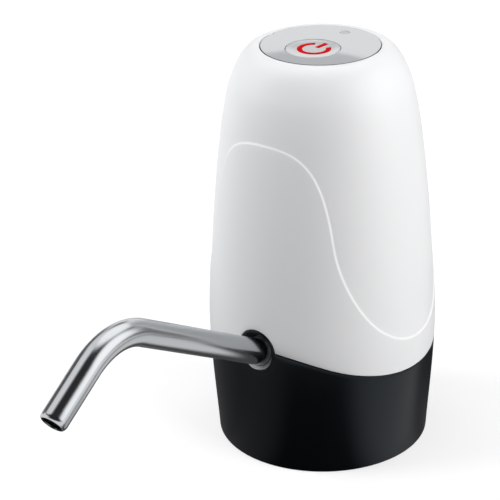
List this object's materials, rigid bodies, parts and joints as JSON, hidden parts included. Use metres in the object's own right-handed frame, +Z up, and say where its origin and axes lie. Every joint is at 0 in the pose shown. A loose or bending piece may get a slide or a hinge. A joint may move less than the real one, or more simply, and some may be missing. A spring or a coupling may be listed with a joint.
{
  "type": "electric water jug pump",
  "caption": "Battery water pump that sits on a bottle neck: white tapered body on a black base, bent steel spout, round power button on top, gear pump and motor inside.",
  "frame": {"origin": "centre of the neck socket mouth, in the plane of the foot", "axes": "+Z up through the top panel, -Y towards the spout, +X to the right seen from the spout"},
  "size_m": [0.075, 0.1742, 0.135],
  "materials": {
    "white_shell": "satin white ABS",
    "black_shell": "satin black ABS",
    "grey_panel": "semi-gloss light grey",
    "grey_button": "semi-gloss light grey",
    "red_symbol": "red inlay",
    "smoke_lens": "frosted light guide",
    "stainless": "polished stainless steel",
    "black_rubber": "moulded rubber",
    "silicone": "translucent silicone",
    "natural_nylon": "moulded nylon",
    "black_nylon": "moulded nylon",
    "gear_plastic": "acetal",
    "steel": "plated steel",
    "magnet": "ferrite",
    "bronze": "sintered bronze",
    "copper": "enamelled copper",
    "carbon": "carbon",
    "cell": "sleeved lithium cell, with the density of a light metal",
    "lead": "insulated wire",
    "board": "solder mask",
    "switch_case": "moulded",
    "led": "diffused"
  },
  "bodies": {
    "housing": {"base_shell": "black_shell", "upper_shell": "white_shell", "neck_grip": "black_rubber", "inlet_fitting": "natural_nylon", "inlet_gasket": "black_rubber", "inlet_nut": "natural_nylon", "suction_hose": "silicone", "delivery_hose": "silicone", "hose_clips": "steel", "outlet_elbow": "natural_nylon", "spout_seal": "black_rubber", "chassis": "black_nylon", "pump_body": "natural_nylon", "pump_gasket": "black_rubber", "pump_cover": "natural_nylon", "pump_screws": "steel", "idler_pin": "steel", "shaft_seal": "black_rubber", "motor_can": "steel", "motor_screws": "steel", "motor_magnets": "magnet", "motor_bushes": "bronze", "motor_cap": "black_nylon", "motor_brushes": "carbon", "motor_terminals": "bronze", "battery_cell": "cell", "battery_tabs": "steel", "battery_leads": "lead", "motor_leads": "lead", "control_board": "board", "switch_body": "switch_case", "status_led": "led", "status_lens": "smoke_lens", "charge_socket": "steel", "board_screws": "steel", "case_screws": "steel", "chassis_screws": "steel", "top_panel": "grey_panel"},
    "button": {"power_button": "grey_button", "power_icon": "red_symbol"},
    "plunger": {"switch_plunger": "natural_nylon"},
    "rotor": {"motor_shaft": "steel", "armature_core": "steel", "armature_windings": "copper", "commutator": "copper", "drive_gear": "gear_plastic"},
    "idler": {"driven_gear": "gear_plastic"},
    "swivel": {"spout_bush": "black_rubber"},
    "spout": {"spout_tube": "stainless"}
  },
  "joints": [
    {"name": "button_press", "type": "slide", "parent": "housing", "child": "button", "axis": [0, 0, -1], "range_m": [0, 0.0007], "stiffness_N_per_m": 500, "springref_m": -0.002},
    {"name": "plunger_press", "type": "slide", "parent": "housing", "child": "plunger", "axis": [0, 0, -1], "range_m": [0, 0.0007]},
    {"name": "rotor_spin", "type": "hinge", "parent": "housing", "child": "rotor", "pos_m": [-0.006, -0.00973, 0.065], "axis": [0, 0, 1], "continuous": true},
    {"name": "driven_gear_spin", "type": "hinge", "parent": "housing", "child": "idler", "pos_m": [0.006, -0.00973, 0.062], "axis": [0, 0, 1], "continuous": true},
    {"name": "spout_swivel", "type": "hinge", "parent": "housing", "child": "swivel", "pos_m": [0, -0.0375, 0.0425], "axis": [0, -0.8755, 0.4833], "continuous": true},
    {"name": "spout_pull", "type": "slide", "parent": "swivel", "child": "spout", "axis": [0, -0.8755, 0.4833], "range_m": [0, 0.03]}
  ],
  "couplings": [
    {"joint": "plunger_press", "follows": "button_press", "ratio": 1},
    {"joint": "driven_gear_spin", "follows": "rotor_spin", "ratio": -1}
  ]
}
